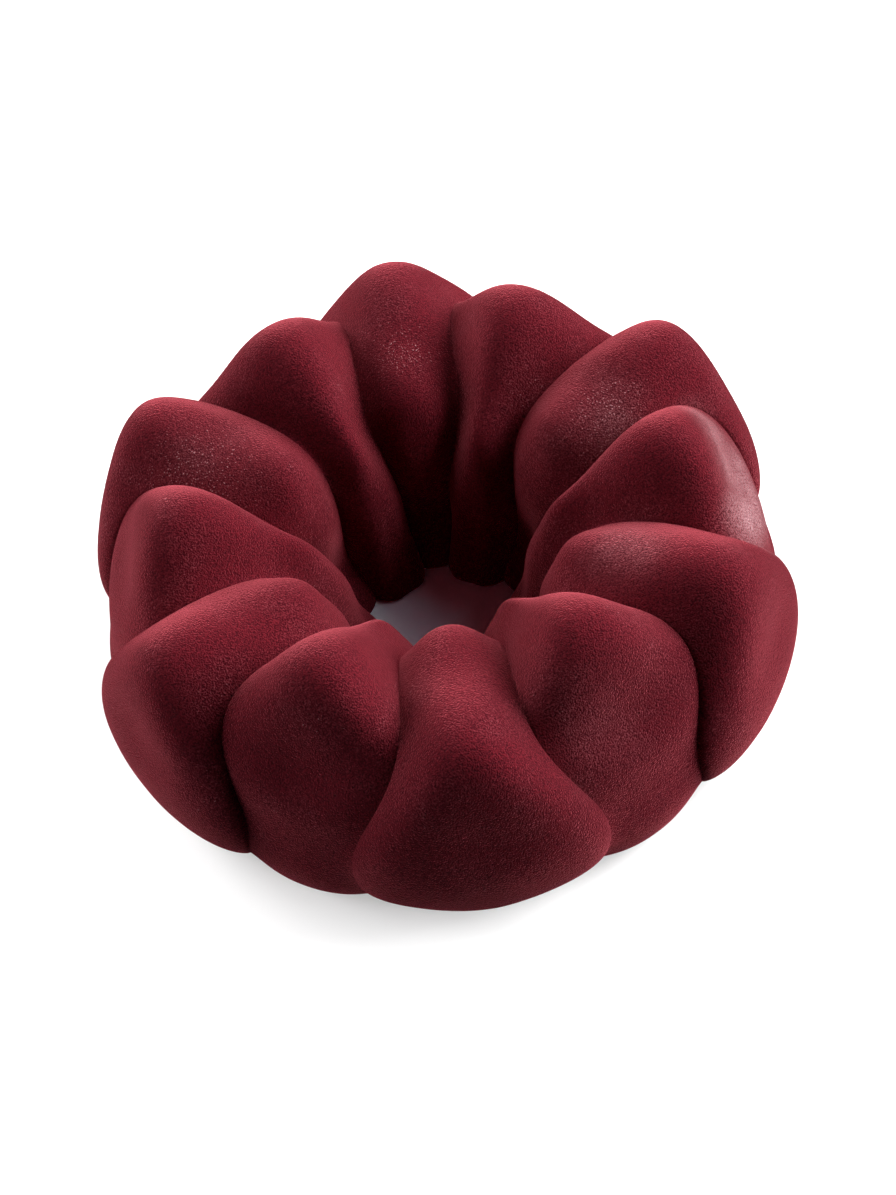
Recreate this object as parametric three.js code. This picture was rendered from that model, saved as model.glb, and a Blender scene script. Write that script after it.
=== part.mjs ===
// A mousse cake moulded in one piece: a ring of soft lobes round an open middle, on a flat base.
// Lobes with a broad foot and a narrow crown take turns with lobes of the opposite build.
// Millimetres, +Z up. The origin is the middle of the base, and a broad-footed lobe faces -Y.
import * as THREE from 'three';

// Driving dimensions
const LOBES = 12;
const CORE_RADIUS = 54;
const EDGE_ROUND = 2.5;

// Distance from the core circle to the skin, in even steps of angle from the outer foot,
// over the crown, to the inner foot. The crease is the groove that two lobes share.
// A hollow dips the skin, or swells it where its depth is negative, at an angle over the section:
// its length is in degrees over the section, and its width a share of half a lobe.
const CREASE = [22, 34, 41.5, 51.5, 50, 43.5, 32, 26.5, 33];
const BROAD_FOOTED = {
  middle: [29.5, 39.5, 52.5, 64.5, 56, 53.5, 35.5, 27.5, 34],
  shoulder: [26.5, 40.5, 51, 57.5, 53.5, 48, 35.5, 27.5, 34],
  fullness: 2.3,
  hollows: [
    { depth: 4.5, at: 49, length: 12.5, width: 0.55 },
    { depth: 3.5, at: 118, length: 8.5, width: 0.75 },
  ],
};
const NARROW_FOOTED = {
  middle: [27.5, 35, 42, 62.5, 65.5, 45.5, 41, 35.5, 38.5],
  shoulder: [25, 34, 41.5, 57.5, 56, 43, 39.5, 36, 39],
  fullness: 3.2,
  hollows: [
    { depth: 10, at: 65.5, length: 12, width: 0.95 },
    { depth: -6.5, at: 117, length: 12.5, width: 0.8 },
  ],
};

// Degrees by which half a broad-footed lobe is wider than an even share, at the same angles
const SPREAD = [0.5, 5, 4.5, -2, -1, 2, -2.5, -3.5, -6.5];

// Where the shoulder lines run, as a share of the way from a lobe's middle to its crease
const SHOULDER_AT = 0.85;

// Power that shapes a lobe's flanks: at one half a crease is narrow and steep, above it more open
const FLANK_POWER = 0.6;

// Mesh steps across one lobe and over one section, and the heights of the rows on the rounded edge
const STEPS_ACROSS = 12;
const STEPS_OVER = 26;
const EDGE_ROWS = [0, 0.5, 1.4];

// Natural cubic spline through evenly spaced values, as a function of a place from 0 to 1.
function smoothCurve(values) {
  const last = values.length - 1;
  const bend = new Array(last + 1).fill(0);
  const carry = new Array(last + 1).fill(0);
  for (let i = 1; i < last; i += 1) {
    const turn = values[i + 1] - 2 * values[i] + values[i - 1];
    const pivot = 4 + carry[i - 1];
    carry[i] = -1 / pivot;
    bend[i] = (6 * turn - bend[i - 1]) / pivot;
  }
  for (let i = last - 1; i > 0; i -= 1) {
    bend[i] += carry[i] * bend[i + 1];
  }
  return (place) => {
    const spot = Math.min(Math.max(place, 0), 1) * last;
    const i = Math.min(Math.floor(spot), last - 1);
    const b = spot - i;
    const a = 1 - b;
    const sag = (a ** 3 - a) * bend[i] + (b ** 3 - b) * bend[i + 1];
    return a * values[i] + b * values[i + 1] + sag / 6;
  };
}

// The lines that run over one kind of lobe, each as a function of a place from 0 to 1.
function lobeLines(kind) {
  return {
    middle: smoothCurve(kind.middle),
    shoulder: smoothCurve(kind.shoulder),
    fullness: kind.fullness,
    hollows: kind.hollows,
  };
}

const creaseLine = smoothCurve(CREASE);
const spreadLine = smoothCurve(SPREAD);
const broadLines = lobeLines(BROAD_FOOTED);
const narrowLines = lobeLines(NARROW_FOOTED);

// Skin distance on a lobe: a parabola through its middle line and two shoulder lines, less its
// hollows, which a superellipse brings down to the crease at either side, where across is -1 or 1.
function skinDistance(lines, place, across) {
  const middle = lines.middle(place);
  let body = middle + (lines.shoulder(place) - middle) * (across / SHOULDER_AT) ** 2;
  for (const { depth, at, length, width } of lines.hollows) {
    const along = (180 * place - at) / length;
    body -= depth * Math.exp(-(along ** 2) - (across / width) ** 2);
  }
  const crease = creaseLine(place);
  const swell = Math.max(0, 1 - Math.abs(across) ** lines.fullness) ** FLANK_POWER;
  return crease + (body - crease) * swell;
}

// How far the rounded lower edge tucks in at a height above the base.
function edgeTuck(height) {
  const drop = Math.max(0, EDGE_ROUND - height);
  return EDGE_ROUND - Math.sqrt(EDGE_ROUND ** 2 - drop ** 2);
}

// A point of the skin: lobe number, place over the section and place across the lobe.
function skinPoint(lobe, place, across) {
  const broad = lobe % 2 === 0;
  const distance = skinDistance(broad ? broadLines : narrowLines, place, across);
  const share = 180 / LOBES;
  const halfWidth = broad ? share + spreadLine(place) : share - spreadLine(place);
  const turn = THREE.MathUtils.degToRad(2 * share * lobe + halfWidth * across);
  const tilt = Math.PI * place;
  const height = distance * Math.sin(tilt);
  const radius = CORE_RADIUS + (distance - edgeTuck(height)) * Math.cos(tilt);
  return [radius * Math.sin(turn), -radius * Math.cos(turn), height];
}

// Places over the section: close rows on the rounded edges, then even steps over the crown.
function sectionPlaces() {
  const rise = EDGE_ROWS.map((height) => Math.asin(height / BROAD_FOOTED.middle[0]) / Math.PI);
  const places = [...rise];
  for (let i = 1; i < STEPS_OVER; i += 1) {
    places.push(i / STEPS_OVER);
  }
  return [...places, ...rise.reverse().map((place) => 1 - place)];
}

// Closed skin of the ring, with a flat base that joins its outer and inner feet.
function ringGeometry() {
  const places = sectionPlaces();
  const rows = places.length;
  const columns = LOBES * STEPS_ACROSS;
  const positions = [];
  for (let column = 0; column < columns; column += 1) {
    const lobe = Math.floor(column / STEPS_ACROSS);
    const step = (column % STEPS_ACROSS) / STEPS_ACROSS;
    const across = -Math.cos(Math.PI * step);
    places.forEach((place) => positions.push(...skinPoint(lobe, place, across)));
  }
  const faces = [];
  for (let column = 0; column < columns; column += 1) {
    const here = column * rows;
    const next = ((column + 1) % columns) * rows;
    for (let row = 0; row < rows; row += 1) {
      const above = (row + 1) % rows;
      faces.push(here + row, next + row, next + above);
      faces.push(here + row, next + above, here + above);
    }
  }
  const geometry = new THREE.BufferGeometry();
  geometry.setAttribute('position', new THREE.Float32BufferAttribute(positions, 3));
  geometry.setIndex(faces);
  geometry.computeVertexNormals();
  return geometry;
}

// Deep wine red velvet coat of sprayed cocoa butter, fully matte
const velvet = new THREE.MeshStandardMaterial({ color: 0x7d2f3c, roughness: 0.9, metalness: 0 });

const ring = new THREE.Mesh(ringGeometry(), velvet);
ring.name = 'mousse_ring';

const cake = new THREE.Group();
cake.add(ring);

export default cake;
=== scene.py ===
"""A velvet-sprayed mousse cake: a moulded ring of lobes on a pale table, seen from the front and above."""
import math

import bpy
import numpy as np
from mathutils import Matrix, Vector


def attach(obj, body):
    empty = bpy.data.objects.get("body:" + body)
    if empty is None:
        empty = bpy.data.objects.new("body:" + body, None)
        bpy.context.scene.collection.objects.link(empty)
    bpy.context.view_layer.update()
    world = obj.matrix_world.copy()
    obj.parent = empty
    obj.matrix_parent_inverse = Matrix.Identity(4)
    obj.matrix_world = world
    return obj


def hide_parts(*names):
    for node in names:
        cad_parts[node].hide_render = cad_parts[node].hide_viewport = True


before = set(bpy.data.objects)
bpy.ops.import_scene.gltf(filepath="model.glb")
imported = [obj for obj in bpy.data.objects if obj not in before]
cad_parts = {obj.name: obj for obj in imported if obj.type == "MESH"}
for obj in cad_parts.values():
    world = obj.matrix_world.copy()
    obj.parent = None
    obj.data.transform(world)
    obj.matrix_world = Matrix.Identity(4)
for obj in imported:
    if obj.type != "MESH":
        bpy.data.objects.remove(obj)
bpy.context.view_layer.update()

MM = 0.001

# Sizes of the moulded ring, in millimetres and degrees, as in the solid
LOBES = 12
CORE_RADIUS = 54
EDGE_ROUND = 2.5

# Distance from the core circle to the skin, in even steps of angle from the outer foot,
# over the crown, to the inner foot. The crease is the groove that two lobes share.
# Each hollow has its depth, its angle over the section, its length in degrees over the section,
# and its width as a share of half a lobe. A negative depth is a swelling.
CREASE = [22, 34, 41.5, 51.5, 50, 43.5, 32, 26.5, 33]
BROAD_FOOTED = {
    "middle": [29.5, 39.5, 52.5, 64.5, 56, 53.5, 35.5, 27.5, 34],
    "shoulder": [26.5, 40.5, 51, 57.5, 53.5, 48, 35.5, 27.5, 34],
    "fullness": 2.3,
    "hollows": [(4.5, 49, 12.5, 0.55), (3.5, 118, 8.5, 0.75)],
}
NARROW_FOOTED = {
    "middle": [27.5, 35, 42, 62.5, 65.5, 45.5, 41, 35.5, 38.5],
    "shoulder": [25, 34, 41.5, 57.5, 56, 43, 39.5, 36, 39],
    "fullness": 3.2,
    "hollows": [(10, 65.5, 12, 0.95), (-6.5, 117, 12.5, 0.8)],
}

# Degrees by which half a broad-footed lobe is wider than an even share, at the same angles
SPREAD = [0.5, 5, 4.5, -2, -1, 2, -2.5, -3.5, -6.5]

# Where the shoulder lines run, as a share of the way from a lobe's middle to its crease
SHOULDER_AT = 0.85

# Power that shapes a lobe's flanks: at one half a crease is narrow and steep, above it more open
FLANK_POWER = 0.6

# Fine mesh steps across one lobe and over one section, and the row heights on the rounded edge
STEPS_ACROSS = 54
STEPS_OVER = 140
EDGE_ROWS = [0.0, 0.15, 0.4, 0.8]

# Slight unevenness of the set mousse: height, shortest and longest wave, number of waves
UNEVEN_HEIGHT = 0.10
UNEVEN_WAVES = (11.0, 34.0)
UNEVEN_COUNT = 26
SEED = 7

# Table top: radius in metres, and number of short straight sides round its rim
TABLE_RADIUS = 0.95
TABLE_SIDES = 96

# Metres from the cake to the middle of every lamp
LAMP_DISTANCE = 1.1

# Camera worked out from the outlines: degrees, and distances in millimetres
VIEW_SIDE = -0.15
VIEW_HEIGHT = 51.1
VIEW_ROLL = 8.8
VIEW_DISTANCE = 555
AIM_HEIGHT = 26
SCALE_AT_AIM = 3.95
FRAME_WIDTH = 896
FRAME_HEIGHT = 1195
AIM_PIXEL = (437.5, 570)
SENSOR_WIDTH = 36.0


def smooth_curve(values, places):
    """Natural cubic spline through evenly spaced values, read at places from 0 to 1.

    Between two values it is their straight mix, less a sag of the third power of the distance to each,
    weighted by the bends that make slope and curvature run on through every value."""
    values = np.asarray(values, float)
    last = len(values) - 1
    inner = 4 * np.eye(last - 1) + np.eye(last - 1, k=1) + np.eye(last - 1, k=-1)
    bend = np.zeros(last + 1)
    bend[1:-1] = np.linalg.solve(inner, 6 * np.diff(values, 2))
    spot = np.clip(places, 0, 1) * last
    index = np.minimum(spot.astype(int), last - 1)
    b = spot - index
    a = 1 - b
    sag = (a ** 3 - a) * bend[index] + (b ** 3 - b) * bend[index + 1]
    return a * values[index] + b * values[index + 1] + sag / 6


def skin_distance(kind, places, across):
    """Distance of the skin from the core circle, for places over the section and places across a lobe.

    Across the lobe it is a parabola through the middle line and the two shoulder lines, less a bell
    curve for each hollow, brought down to the crease line at either side by one less the place
    across to the power of the lobe's fullness, all to the flank power."""
    middle = smooth_curve(kind["middle"], places)
    shoulder = smooth_curve(kind["shoulder"], places)
    body = middle + (shoulder - middle) * (across / SHOULDER_AT) ** 2
    for depth, at, length, width in kind["hollows"]:
        body = body - depth * np.exp(-((180 * places - at) / length) ** 2 - (across / width) ** 2)
    crease = smooth_curve(CREASE, places)
    swell = np.maximum(1 - np.abs(across) ** kind["fullness"], 0) ** FLANK_POWER
    return crease + (body - crease) * swell


def edge_tuck(height):
    """How far the rounded lower edge tucks in at a height: a quarter circle of the edge's radius."""
    drop = np.maximum(EDGE_ROUND - height, 0)
    return EDGE_ROUND - np.sqrt(EDGE_ROUND ** 2 - drop ** 2)


def ring_grid():
    """Points of the skin as an array of columns round the ring by rows over the section, in millimetres.

    A column is a lobe and a place across it, from -1 to 1 and closer together at the creases.
    A row is a place over the section from the outer foot to the inner foot. Each point lies
    at the skin's distance from the core circle, turned about the ring's axis to its column."""
    rise = np.arcsin(np.array(EDGE_ROWS) / BROAD_FOOTED["middle"][0]) / math.pi
    even = np.arange(1, STEPS_OVER) / STEPS_OVER
    places = np.concatenate([rise, even, 1 - rise[::-1]])[None, :]
    across = -np.cos(math.pi * np.arange(STEPS_ACROSS) / STEPS_ACROSS)[:, None]
    share = 180 / LOBES
    spread = smooth_curve(SPREAD, places)
    tilt = math.pi * places
    columns = []
    for lobe in range(LOBES):
        broad = lobe % 2 == 0
        distance = skin_distance(BROAD_FOOTED if broad else NARROW_FOOTED, places, across)
        half_width = share + spread if broad else share - spread
        turn = np.radians(2 * share * lobe + half_width * across)
        height = distance * np.sin(tilt)
        radius = CORE_RADIUS + (distance - edge_tuck(height)) * np.cos(tilt)
        columns.append(np.stack([radius * np.sin(turn), -radius * np.cos(turn), height], axis=-1))
    return np.concatenate(columns)


def set_unevenness(points):
    """Shifts the skin by a seeded sum of plane sine waves, fading to none at the base."""
    draw = np.random.default_rng(SEED)
    shortest, longest = UNEVEN_WAVES
    shift = np.zeros(points.shape)
    for _ in range(UNEVEN_COUNT):
        way = draw.normal(size=3)
        way /= np.linalg.norm(way)
        push = draw.normal(size=3)
        push /= np.linalg.norm(push)
        length = draw.uniform(shortest, longest)
        phase = draw.uniform(0, 2 * math.pi)
        wave = np.sin(points @ way * (2 * math.pi / length) + phase)
        shift += wave[..., None] * push
    fade = np.clip(points[..., 2:] / (2 * EDGE_ROUND), 0, 1)
    return points + shift * fade * (UNEVEN_HEIGHT / math.sqrt(UNEVEN_COUNT / 2))


def closed_faces(columns, rows):
    """Quads between neighbouring columns, with the last row joined to the first to close the base."""
    column = np.arange(columns)[:, None]
    row = np.arange(rows)[None, :]
    here = column * rows
    following = (column + 1) % columns * rows
    above = (row + 1) % rows
    corners = (here + row, following + row, following + above, here + above)
    return np.stack(corners, axis=-1).reshape(-1, 4)


def mesh_object(name, points, faces, material):
    """Puts points in metres and faces into a smooth-shaded mesh object at the origin."""
    mesh = bpy.data.meshes.new(name)
    mesh.from_pydata(points, [], faces)
    mesh.polygons.foreach_set("use_smooth", np.ones(len(faces), bool))
    mesh.materials.append(material)
    mesh.update()
    made = bpy.data.objects.new(name, mesh)
    bpy.context.scene.collection.objects.link(made)
    return made


def to_linear(code):
    """Linear colour with alpha from an sRGB hex code such as "6F1D26"."""
    parts = [int(code[i:i + 2], 16) / 255 for i in (0, 2, 4)]
    return [p / 12.92 if p <= 0.04045 else ((p + 0.055) / 1.055) ** 2.4 for p in parts] + [1.0]


def per_metre(size_mm):
    """Texture scale in Object coordinates that gives features of a size in millimetres."""
    return 1 / (size_mm * MM)


def add_node(tree, kind, inputs=None, **settings):
    """Adds one shader node, sets its properties, and sets or links each input by its name or number."""
    made = tree.nodes.new(kind)
    for name, value in settings.items():
        setattr(made, name, value)
    for name, value in (inputs or {}).items():
        if isinstance(value, bpy.types.NodeSocket):
            tree.links.new(value, made.inputs[name])
        else:
            made.inputs[name].default_value = value
    return made


def blank_material(name):
    """A node material with nothing in it yet, and its node tree."""
    material = bpy.data.materials.new(name)
    material.use_nodes = True
    material.node_tree.nodes.clear()
    return material, material.node_tree


def remap(tree, value, low, high, least=0.0, most=1.0, curve="LINEAR"):
    """The value stretched so that low gives least and high gives most, and kept between the two."""
    made = add_node(tree, "ShaderNodeMapRange", {
        "Value": value, "From Min": low, "From Max": high, "To Min": least, "To Max": most},
        interpolation_type=curve)
    return made.outputs["Result"]


def combine(tree, operation, first, second):
    """A number made from two others by an operation such as MULTIPLY."""
    made = add_node(tree, "ShaderNodeMath", {0: first, 1: second}, operation=operation)
    return made.outputs["Value"]


def blend(tree, share, first, second):
    """The first colour with a share of the second mixed in."""
    made = add_node(tree, "ShaderNodeMix", {"Factor": share, "A": first, "B": second}, data_type="RGBA")
    return made.outputs["Result"]


def noise(tree, place, size_mm, detail, roughness, distortion=0.0):
    """Soft noise between 0 and 1 with features of a size in millimetres."""
    made = add_node(tree, "ShaderNodeTexNoise", {
        "Vector": place, "Scale": per_metre(size_mm), "Detail": detail, "Roughness": roughness,
        "Distortion": distortion})
    return made.outputs["Fac"]


# Sprayed cocoa butter sets in tiny droplets: grain of droplets, and soft clouds of thicker spray.
# Real droplets are about half as wide; they are drawn this coarse so that they show.
GRAIN_MM = 0.4
CLOUD_MM = 14
WRINKLE_MM = 3.0

# How far the grain and the faint wrinkles seem to stand out, in millimetres, and the wrinkles' share
GRAIN_RISE_MM = 0.5
WRINKLE_RISE_MM = 0.3
WRINKLE_SHARE = 0.3

# Colours of the coat: between and on its droplets, in its pale clouds and its flecks, and a painted pale
# sheen
COAT_DEEP = "46101A"
COAT_PALE = "751E29"
BLOOM_PALE = "955059"
FLECK_PALE = "E0B4B8"
# Painted sheen: a pale colour laid on where light grazes one lobe, not a colour of the coat
PAINTED_SHEEN_PALE = "CFA3A8"
SHEEN_TINT = "FF7581"

# Where a pale sheen is painted on, as spots: middle and radius in millimetres, and how strong.
# Four of them run together on the outer side of one lobe, where the right lamp grazes it, and the rest
# leave a thin haze of painted sheen elsewhere.
PAINTED_SHEEN_SPOTS = [
    ((74, 9, 53), 17, 0.8),
    ((78, 1, 46), 21, 0.77),
    ((78, -11, 43), 17, 0.77),
    ((80, -3, 39), 18, 0.7),
    ((44, 18, 53), 26, 0.04),
    ((33, -67, 46), 28, 0.035),
    ((44, -25, 56), 18, 0.1),
    ((49, 15, 52), 14, 0.1),
    ((-50, 25, 56), 20, 0.05),
]

# Where pale flecks crowd together, as spots: middle and radius in millimetres, and how closely
FLECK_SPOTS = [
    ((0, 50, 55), 15, 0.06),
    ((-53, 21, 54), 24, 0.06),
    ((47, 20, 54), 24, 0.05),
    ((44, -24, 56), 18, 0.035),
]


def soft_spots(tree, place, spots):
    """A value that rises smoothly from 0 at each spot's radius to its strength at the middle.

    Where spots run together, the strongest counts."""
    strongest = 0.0
    for middle, radius, strength in spots:
        point = [c * MM for c in middle]
        away = add_node(tree, "ShaderNodeVectorMath", {0: place, 1: point}, operation="DISTANCE")
        near = remap(tree, away.outputs["Value"], radius * MM, 0.0, most=strength, curve="SMOOTHSTEP")
        strongest = combine(tree, "MAXIMUM", near, strongest)
    return strongest


def coat_colour(tree, place, grain, cloud):
    """The coat's colour, in four layers, the last of them a painted pale sheen.

    Droplets are paler than the gaps between them. In the clouds their tips are paler still.
    The highest tips are pale flecks, in the thickest clouds and in the fleck spots.
    Over the painted sheen spots lies a painted pale sheen where light grazes the lobe, speckled by the
    grain and drifting with the clouds."""
    grained = blend(tree, remap(tree, grain, 0.32, 0.68), to_linear(COAT_DEEP), to_linear(COAT_PALE))
    thick = remap(tree, cloud, 0.45, 0.75, most=0.6)
    tips = remap(tree, grain, 0.5, 0.75)
    clouded = blend(tree, combine(tree, "MULTIPLY", thick, tips), grained, to_linear(BLOOM_PALE))
    crowd = soft_spots(tree, place, FLECK_SPOTS)
    crowded = remap(tree, crowd, 0.0, 0.05, most=0.6)
    allowed = combine(tree, "MAXIMUM", remap(tree, cloud, 0.6, 0.72), crowded)
    peaks = remap(tree, combine(tree, "ADD", grain, crowd), 0.73, 0.8)
    flecked = blend(tree, combine(tree, "MULTIPLY", allowed, peaks), clouded, to_linear(FLECK_PALE))
    speckle = remap(tree, grain, 0.34, 0.66, least=0.15, most=1.2)
    # Painted sheen: pale colour laid on the spots where light grazes, speckled by the grain
    painted_sheen = combine(tree, "MULTIPLY", soft_spots(tree, place, PAINTED_SHEEN_SPOTS), speckle)
    drift = remap(tree, cloud, 0.35, 0.65, least=0.5, most=1.2)
    return blend(tree, combine(tree, "MULTIPLY", painted_sheen, drift), flecked, to_linear(PAINTED_SHEEN_PALE))


def velvet_material():
    """Cocoa-butter velvet, sprayed warm on frozen mousse.

    It sets as a skin of tiny matte droplets, so it looks like suede: no gloss, a soft pale bloom
    where it is seen edge-on, a fine grain, faint clouds where more spray fell, and a few pale flecks.
    A pale sheen is also painted on, over one lobe's outer side and as a thin haze elsewhere."""
    material, tree = blank_material("cocoa_butter_velvet")
    place = add_node(tree, "ShaderNodeTexCoord").outputs["Object"]
    grain = noise(tree, place, GRAIN_MM, detail=1.0, roughness=0.5)
    cloud = noise(tree, place, CLOUD_MM, detail=3.0, roughness=0.55)
    wrinkle = noise(tree, place, WRINKLE_MM, detail=2.0, roughness=0.5, distortion=1.5)
    bump = add_node(tree, "ShaderNodeBump", {
        "Strength": 1.0, "Distance": GRAIN_RISE_MM * MM, "Height": grain})
    folded = add_node(tree, "ShaderNodeBump", {
        "Strength": WRINKLE_SHARE, "Distance": WRINKLE_RISE_MM * MM, "Height": wrinkle,
        "Normal": bump.outputs["Normal"]})
    shader = add_node(tree, "ShaderNodeBsdfPrincipled", {
        "Base Color": coat_colour(tree, place, grain, cloud), "Roughness": 1.0, "IOR": 1.45,
        "Specular IOR Level": 0.05, "Sheen Weight": 1.0, "Sheen Roughness": 0.33,
        "Sheen Tint": to_linear(SHEEN_TINT), "Normal": folded.outputs["Normal"]})
    add_node(tree, "ShaderNodeOutputMaterial", {"Surface": shader.outputs["BSDF"]})
    return material


def table_material():
    """Pale matte laminate, smooth and white, with no pattern to draw the eye."""
    material, tree = blank_material("pale_table")
    shader = add_node(tree, "ShaderNodeBsdfPrincipled", {
        "Base Color": to_linear("FAFAFA"), "Roughness": 0.8, "Specular IOR Level": 0.1})
    add_node(tree, "ShaderNodeOutputMaterial", {"Surface": shader.outputs["BSDF"]})
    return material


def build_cake():
    """The whole moulded ring with its fine skin, in place of the plain solid."""
    points = set_unevenness(ring_grid())
    columns, rows = points.shape[:2]
    faces = closed_faces(columns, rows)
    cake = mesh_object("velvet_ring", points.reshape(-1, 3) * MM, faces, velvet_material())
    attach(cake, "root")
    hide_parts("mousse_ring")
    return cake


def build_table():
    """A round table top under the cake, no wider than the ring of lamps that lights it.

    It throws no light back on the cake, whose lower parts are dark in the photograph."""
    turn = np.linspace(0, 2 * math.pi, TABLE_SIDES, endpoint=False)
    rim = np.stack([np.cos(turn), np.sin(turn), np.zeros(TABLE_SIDES)], axis=-1) * TABLE_RADIUS
    table = mesh_object("table", rim, [range(TABLE_SIDES)], table_material())
    table.visible_diffuse = False
    return table


def direction(side, height):
    """Unit vector towards a side angle, 0 at the front and 90 on the right, and a height angle."""
    s, h = math.radians(side), math.radians(height)
    return Vector((math.cos(h) * math.sin(s), -math.cos(h) * math.cos(s), math.sin(h)))


def soft_box(name, side, height, wide, tall, power):
    """A flat soft light that faces the cake, its long side level."""
    light = bpy.data.lights.new(name, "AREA")
    light.shape = "RECTANGLE"
    light.size = wide
    light.size_y = tall
    light.energy = power
    lamp = bpy.data.objects.new(name, light)
    away = direction(side, height)
    lamp.location = away * LAMP_DISTANCE
    lamp.rotation_euler = away.to_track_quat("Z", "Y").to_euler()
    bpy.context.scene.collection.objects.link(lamp)
    return lamp


def lit_only(lamp, thing):
    """Lets a lamp light one object alone."""
    chosen = bpy.data.collections.new(lamp.name + "_lights")
    chosen.objects.link(thing)
    lamp.light_linking.receiver_collection = chosen


def build_lights(cake, table):
    """Soft boxes on the right, at the back and along the left, and others for the table alone.

    Those for the table are a low ring of six and a small high one, which reaches into the opening."""
    soft_box("right_box", side=108, height=29, wide=1.2, tall=0.7, power=28)
    soft_box("right_edge_box", side=72, height=14, wide=0.5, tall=0.4, power=2)
    back = soft_box("back_box", side=180, height=52, wide=0.6, tall=0.6, power=3.9)
    lit_only(back, cake)
    soft_box("left_back_box", side=218, height=9, wide=0.8, tall=0.35, power=9.3)
    soft_box("left_box", side=244, height=28, wide=0.8, tall=0.5, power=6.8)
    soft_box("left_edge_box", side=281, height=9, wide=0.8, tall=0.35, power=3.5)
    for side in range(0, 360, 60):
        low = soft_box(f"table_box_{side}", side=side, height=22, wide=0.9, tall=0.3, power=6.2)
        lit_only(low, table)
    high = soft_box("table_box_high", side=105, height=49, wide=0.3, tall=0.3, power=1.2)
    high.data.color = to_linear("E0E4FF")[:3]
    lit_only(high, table)


def build_world():
    """Plain white as the camera sees it, and a faint cool fill light on everything else."""
    world = bpy.data.worlds.new("studio")
    bpy.context.scene.world = world
    world.use_nodes = True
    tree = world.node_tree
    tree.nodes.clear()
    seen = add_node(tree, "ShaderNodeBackground", {"Color": to_linear("FFFFFF"), "Strength": 1.0})
    fill = add_node(tree, "ShaderNodeBackground", {"Color": to_linear("E0DCFF"), "Strength": 0.005})
    path = add_node(tree, "ShaderNodeLightPath")
    mixed = add_node(tree, "ShaderNodeMixShader", {
        0: path.outputs["Is Camera Ray"], 1: fill.outputs["Background"], 2: seen.outputs["Background"]})
    add_node(tree, "ShaderNodeOutputWorld", {"Surface": mixed.outputs["Shader"]})


def build_camera():
    """Camera at the photograph's height, side and roll, aimed at the middle of the ring."""
    away = direction(VIEW_SIDE, VIEW_HEIGHT)
    level_right = Vector((0, 0, 1)).cross(away).normalized()
    level_up = away.cross(level_right)
    roll = math.radians(VIEW_ROLL)
    right = level_right * math.cos(roll) - level_up * math.sin(roll)
    up = level_right * math.sin(roll) + level_up * math.cos(roll)
    camera = bpy.data.cameras.new("camera")
    camera.sensor_fit = "HORIZONTAL"
    camera.sensor_width = SENSOR_WIDTH
    camera.lens = SENSOR_WIDTH * SCALE_AT_AIM * VIEW_DISTANCE / FRAME_WIDTH
    camera.shift_x = (FRAME_WIDTH / 2 - AIM_PIXEL[0]) / FRAME_WIDTH
    camera.shift_y = (AIM_PIXEL[1] - FRAME_HEIGHT / 2) / FRAME_WIDTH
    eye = bpy.data.objects.new("camera", camera)
    place = (Vector((0, 0, AIM_HEIGHT)) + away * VIEW_DISTANCE) * MM
    turned = Matrix((right, up, away)).transposed().to_4x4()
    eye.matrix_world = Matrix.Translation(place) @ turned
    bpy.context.scene.collection.objects.link(eye)
    bpy.context.scene.camera = eye


build_camera()
build_lights(build_cake(), build_table())
build_world()
bpy.context.scene.view_settings.view_transform = "Standard"
